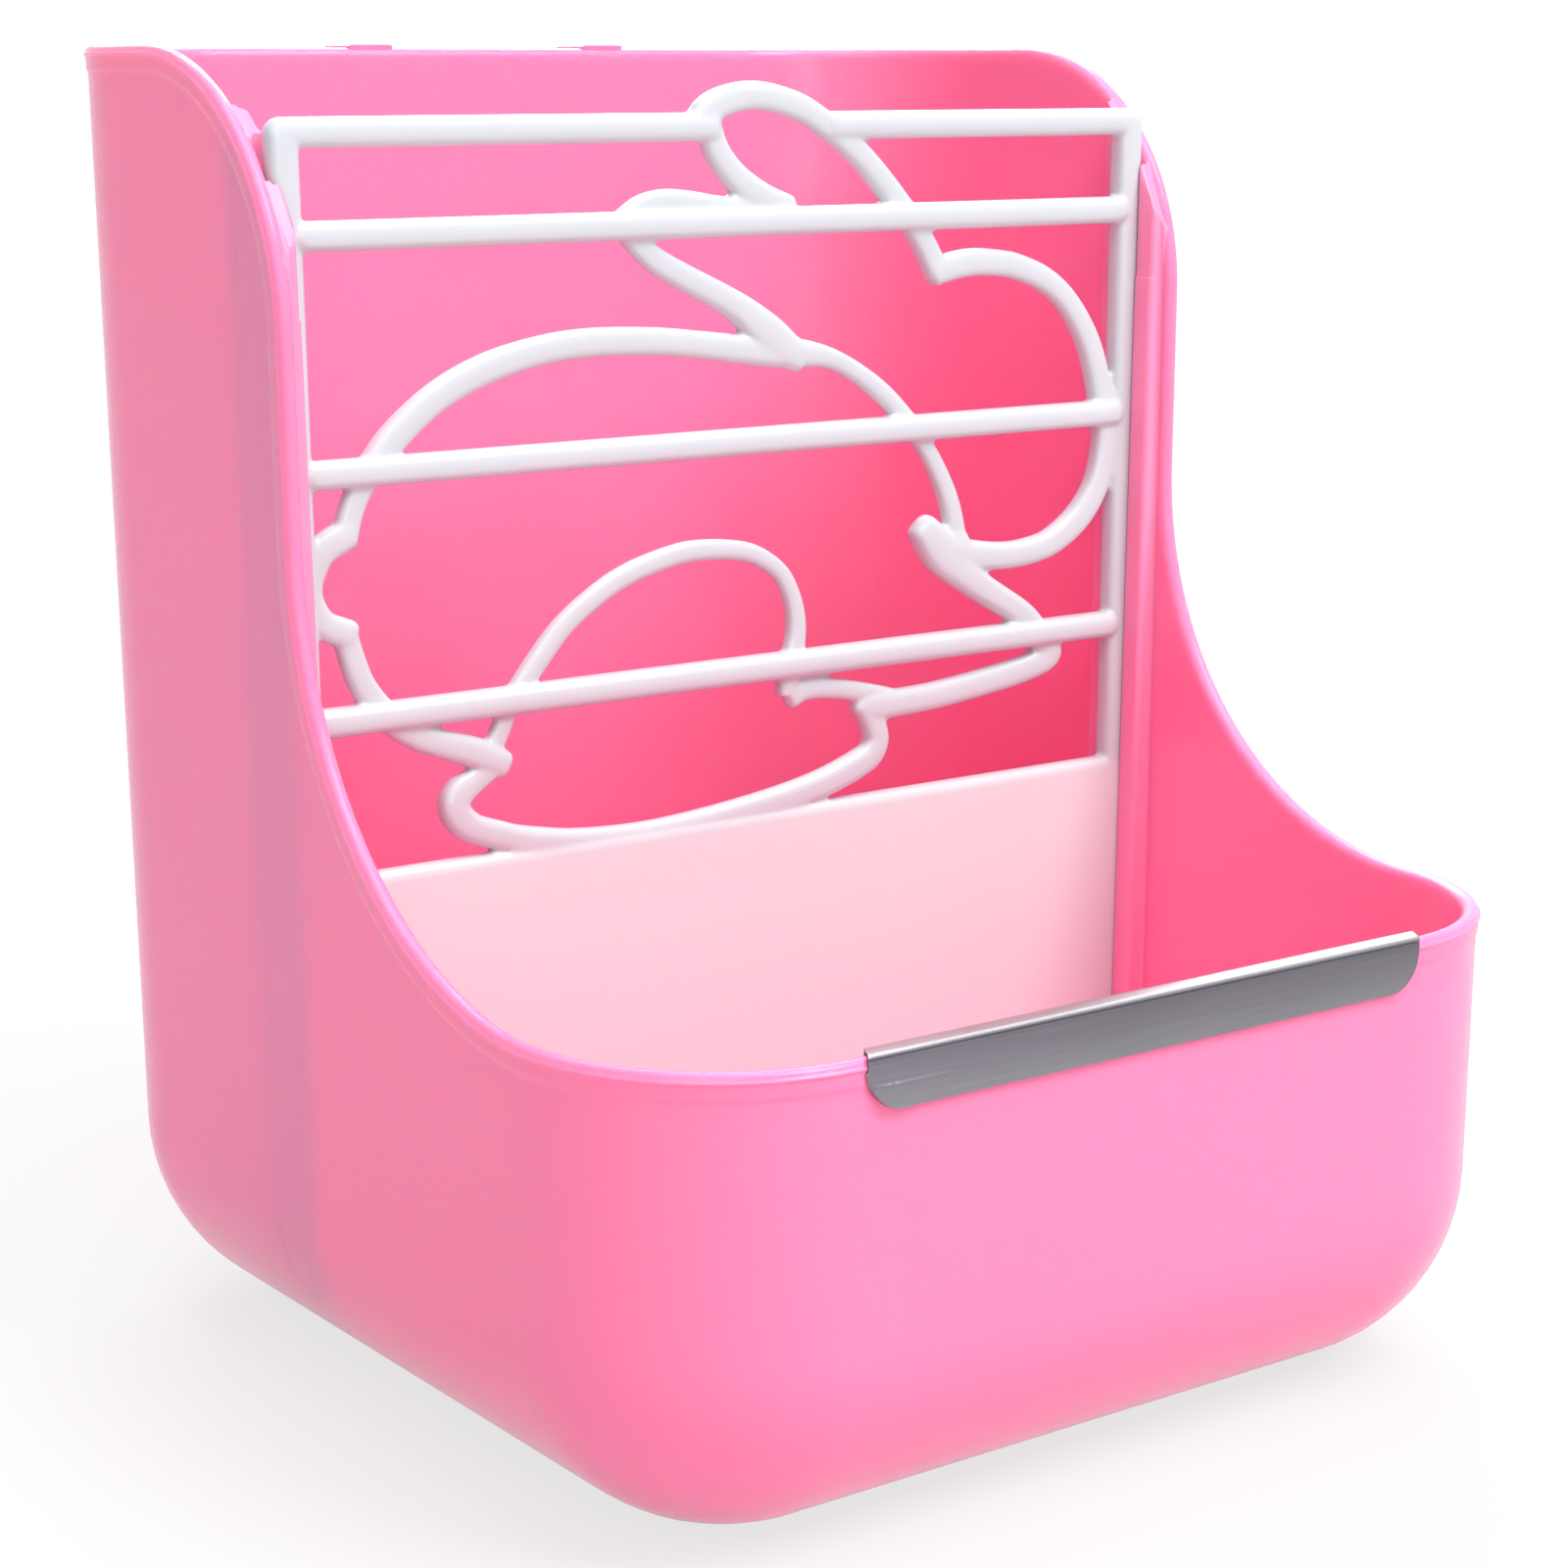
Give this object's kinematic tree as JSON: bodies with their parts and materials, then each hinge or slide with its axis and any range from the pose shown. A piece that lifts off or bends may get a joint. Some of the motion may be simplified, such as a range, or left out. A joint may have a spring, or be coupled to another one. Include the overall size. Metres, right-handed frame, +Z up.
{
  "type": "rabbit hay feeder",
  "caption": "Hanging hay rack with a food bowl in front: one moulded shell, a lift-out grille with a rabbit outline and a steel chew guard on the rim.",
  "frame": {"origin": "centre of the overall box at the underside of the floor", "axes": "+X to the right seen from the bowl, -Y towards the bowl, +Y towards the cage wall, +Z up"},
  "size_m": [0.14, 0.1524, 0.1674],
  "materials": {
    "pink_polypropylene": "gloss",
    "white_polypropylene": "gloss",
    "brushed_steel": "brushed"
  },
  "bodies": {
    "feeder": {"feeder_body": "pink_polypropylene", "rim_guard": "brushed_steel"},
    "grille": {"hay_grille": "white_polypropylene"}
  },
  "joints": [
    {"name": "grille_lift", "type": "slide", "parent": "feeder", "child": "grille", "axis": [0, 0, 1], "range_m": [0, 0.17]}
  ]
}
